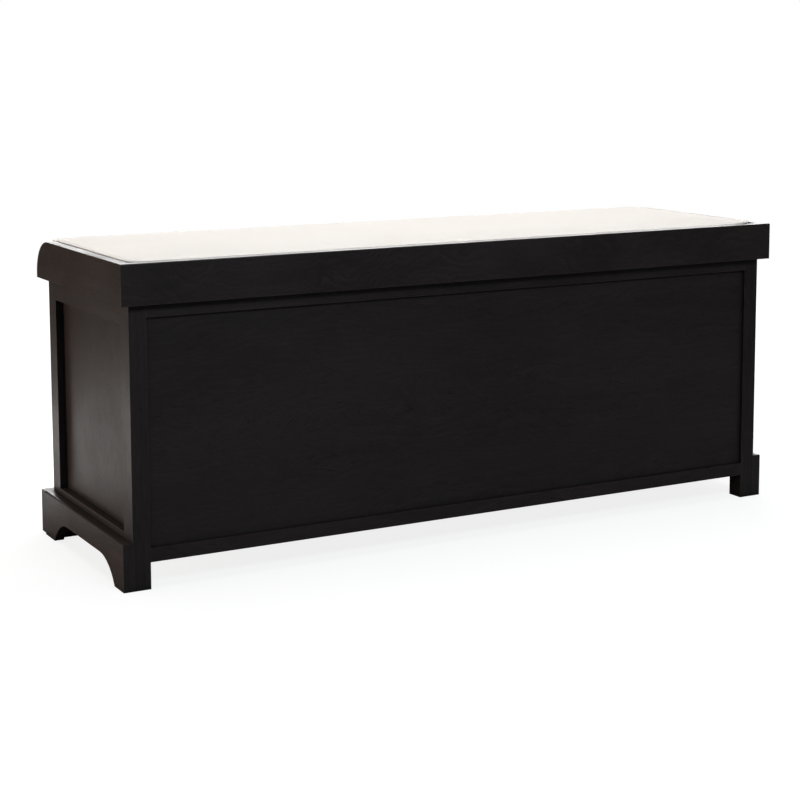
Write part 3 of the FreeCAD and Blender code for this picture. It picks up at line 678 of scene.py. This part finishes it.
def stuffed_cushion():
    cover = mesh_object("seat_cushion_cover", cut_cloth(), CLOTH)
    remesh = cover.modifiers.new("remesh", "REMESH")
    remesh.mode = "VOXEL"
    remesh.voxel_size = VOXEL
    graph = bpy.context.evaluated_depsgraph_get()
    fine = bpy.data.meshes.new_from_object(cover.evaluated_get(graph))
    cover.modifiers.clear()
    cover.data = fine
    settle(cover, run_cloth(cover))
    fine.materials.clear()
    fine.materials.append(CLOTH)
    shade_smooth(fine)
    soften = cover.modifiers.new("cloth_smooth", "SMOOTH")
    soften.factor, soften.iterations = 0.5, 1
    finer = cover.modifiers.new("cloth_fine", "SUBSURF")
    finer.levels = finer.render_levels = 1
    return cover


def tube(name, path, radius, material, sides=8):
    """A closed round tube along a nearly level loop of points."""
    work = bmesh.new()
    rings = []
    for index, point in enumerate(path):
        ahead = (path[(index + 1) % len(path)] - path[index - 1]).normalized()
        outward = Vector((ahead.y, -ahead.x, 0))
        ring = []
        for part in range(sides):
            angle = 2 * math.pi * part / sides
            offset = outward * math.cos(angle) + Vector((0, 0, math.sin(angle)))
            ring.append(work.verts.new(point + offset * radius))
        rings.append(ring)
    for index, ring in enumerate(rings):
        following = rings[(index + 1) % len(rings)]
        for part in range(sides):
            nearby = (part + 1) % sides
            work.faces.new((ring[part], following[part], following[nearby], ring[nearby]))
    return mesh_object(name, work, material)


def piping(name, height):
    """Cord covered in the same cloth, sewn into a seam all the way round."""
    low, high = seam_box()
    share = height / UPPER_SEAM
    path = [Vector((point.x, point.y, cushion_low.z + height + lean(point.x, point.y) * share))
            for point in rounded_rectangle(low, high, CORNER_RADIUS, PIPING_STEP)]
    return tube(name, path, PIPING_RADIUS, PIPING_CLOTH)


def seat_cushion():
    cover = stuffed_cushion()
    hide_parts("seat_cushion")
    welts = [piping("cushion_piping_upper", UPPER_SEAM), piping("cushion_piping_lower", LOWER_SEAM)]
    for piece in [cover, *welts]:
        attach(piece, "case")


# ---------------------------------------------------------------- floor, light and camera
FLOOR_RADIUS = 9.0
FLOOR_GREYS = ((0.21, 0.21, 0.21, 1), (0.23, 0.23, 0.23, 1))
WHITE = (1, 1, 1)


def pale_floor():
    """A pale disc, lifted to white where the camera sees it, that fades into the backdrop."""
    work = bmesh.new()
    bmesh.ops.create_circle(work, cap_ends=True, segments=96, radius=FLOOR_RADIUS)
    material, tree, shader = new_material("pale_floor")
    place = place_on_piece(tree)
    distance = vector_sum(tree, "LENGTH", place, result="Value")
    speckle = noise_texture(tree, place, scale=6.0, detail=4.0)
    tree.links.new(blend_colours(tree, speckle, *FLOOR_GREYS), shader.inputs["Base Color"])
    shader.inputs["Roughness"].default_value = 0.8
    shader.inputs["Specular IOR Level"].default_value = 0.0
    shader.inputs["Emission Color"].default_value = (*WHITE, 1)
    seen = add(tree, "ShaderNodeLightPath").outputs["Is Camera Ray"]
    lift = spread(tree, distance, 0.9, 2.4, 0.84, 1.0)
    tree.links.new(sums(tree, "MULTIPLY", seen, lift), shader.inputs["Emission Strength"])
    tree.links.new(spread(tree, distance, 1.6, 5.0, 1.0, 0.0), shader.inputs["Alpha"])
    mesh_object("floor", work, material)


def hang_lamp(name, kind, place, power):
    data = bpy.data.lights.new(name, kind)
    data.energy = power
    lamp = bpy.data.objects.new(name, data)
    lamp.location = place
    scene.collection.objects.link(lamp)
    return lamp


def soft_box(name, place, target, size, power, colour=WHITE):
    lamp = hang_lamp(name, "AREA", place, power)
    lamp.data.shape = "RECTANGLE"
    lamp.data.size, lamp.data.size_y = size
    lamp.data.color = colour
    lamp.rotation_euler = (Vector(target) - Vector(place)).to_track_quat("-Z", "Y").to_euler()
    lamp.visible_camera = False


def floor_spot(name, place, power, cone):
    """Lights a pool of floor that the lacquered right-hand end then mirrors."""
    data = hang_lamp(name, "SPOT", place, power).data
    data.spot_size, data.spot_blend = math.radians(cone), 0.9
    data.shadow_soft_size = 0.1


def studio_light():
    soft_box("overhead", place=(0.0, -0.3, 2.6), target=(0, 0, 0.3), size=(3.2, 2.4), power=57,
             colour=(1.0, 0.98, 0.955))
    soft_box("right_end", place=(2.8, -0.3, 0.36), target=(0.5, 0, 0.25), size=(1.2, 0.6), power=33,
             colour=(1.0, 0.88, 0.79))
    soft_box("front_left", place=(-1.3, -2.75, 1.0), target=(0, -0.2, 0.35), size=(3.4, 1.3), power=52)
    soft_box("behind", place=(0.2, 2.1, 1.8), target=(0.1, 0.2, 0.35), size=(1.6, 0.6), power=27,
             colour=(0.84, 0.93, 1.0))
    floor_spot("floor_pool", place=(0.9, -0.88, 1.7), power=520, cone=46)


def backdrop():
    """White to look at, softer as a source of light, and brightest low down to the front and left."""
    world = bpy.data.worlds.new("studio")
    scene.world = world
    world.use_nodes = True
    tree = world.node_tree
    tree.nodes.clear()
    way = parts(tree, add(tree, "ShaderNodeTexCoord").outputs["Generated"])
    front = spread(tree, way["Y"], 0.35, -0.45, 0.06, 1.0)
    left = spread(tree, way["X"], 0.15, -0.3, 0.02, 1.0)
    low = spread(tree, sums(tree, "ABSOLUTE", way["Z"]), 0.55, 0.05, 0.35, 1.25)
    glow = sums(tree, "MULTIPLY", sums(tree, "MULTIPLY", front, left), low)
    soft, white = [add(tree, "ShaderNodeBackground", {"Color": (*WHITE, 1), "Strength": strength})
                   for strength in (glow, 1.0)]
    mixed = add(tree, "ShaderNodeMixShader")
    seen = add(tree, "ShaderNodeLightPath").outputs["Is Camera Ray"]
    for socket, source in zip(mixed.inputs, (seen, soft.outputs[0], white.outputs[0])):
        tree.links.new(source, socket)
    tree.links.new(mixed.outputs[0], add(tree, "ShaderNodeOutputWorld").inputs["Surface"])


def camera():
    """Seen from behind the right-hand end, a little above the seat."""
    place = Vector((1.4744, 2.6264, 0.7991))
    turned_from_back, looking_down, rolled = 28.744, 6.793, -0.15
    data = bpy.data.cameras.new("camera")
    data.lens, data.sensor_width = 80.41, 36.0
    data.shift_x, data.shift_y = 0.0019, -0.175
    made = bpy.data.objects.new("camera", data)
    turns = ((180 - turned_from_back, "Z"), (90 - looking_down, "X"), (rolled, "Z"))
    heading, tilt, roll = [Matrix.Rotation(math.radians(angle), 4, axis) for angle, axis in turns]
    made.matrix_world = Matrix.Translation(place) @ heading @ tilt @ roll
    scene.collection.objects.link(made)
    scene.camera = made


def main():
    scene.view_settings.view_transform = "Standard"
    number_the_boards()
    dress_case()
    dress_drawers()
    seat_cushion()
    pale_floor()
    studio_light()
    backdrop()
    camera()


main()
